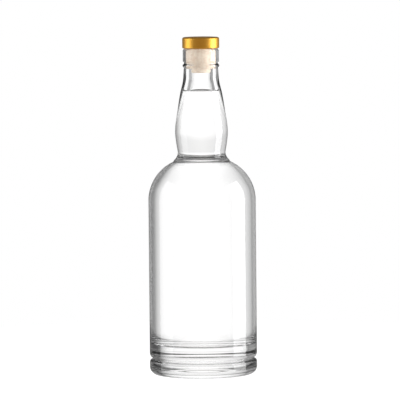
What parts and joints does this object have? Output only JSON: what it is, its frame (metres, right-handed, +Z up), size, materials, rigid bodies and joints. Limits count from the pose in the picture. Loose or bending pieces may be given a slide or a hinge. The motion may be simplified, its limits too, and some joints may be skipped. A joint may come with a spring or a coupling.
{
  "type": "vodka bottle",
  "caption": "Clear round glass spirits bottle with a bulbed neck, round shoulders, thick stepped base, gold-capped cork stopper and clear liquid inside.",
  "frame": {"origin": "centre of the ring that the bottle stands on", "axes": "+Z up along the bottle's axis, through the stopper"},
  "size_m": [0.088, 0.088, 0.2767],
  "materials": {
    "clear_glass": "gloss",
    "clear_spirit": "gloss",
    "gold_aluminium": "satin",
    "cream_plastic": "satin",
    "synthetic_cork": "matte"
  },
  "bodies": {
    "bottle": {"glass_bottle": "clear_glass", "vodka": "clear_spirit"},
    "stopper": {"cap_shell": "gold_aluminium", "cap_disc": "cream_plastic", "stopper_shank": "synthetic_cork"}
  },
  "joints": [
    {"name": "stopper_pull", "type": "slide", "parent": "bottle", "child": "stopper", "axis": [0, 0, 1], "range_m": [0, 0.025]}
  ]
}
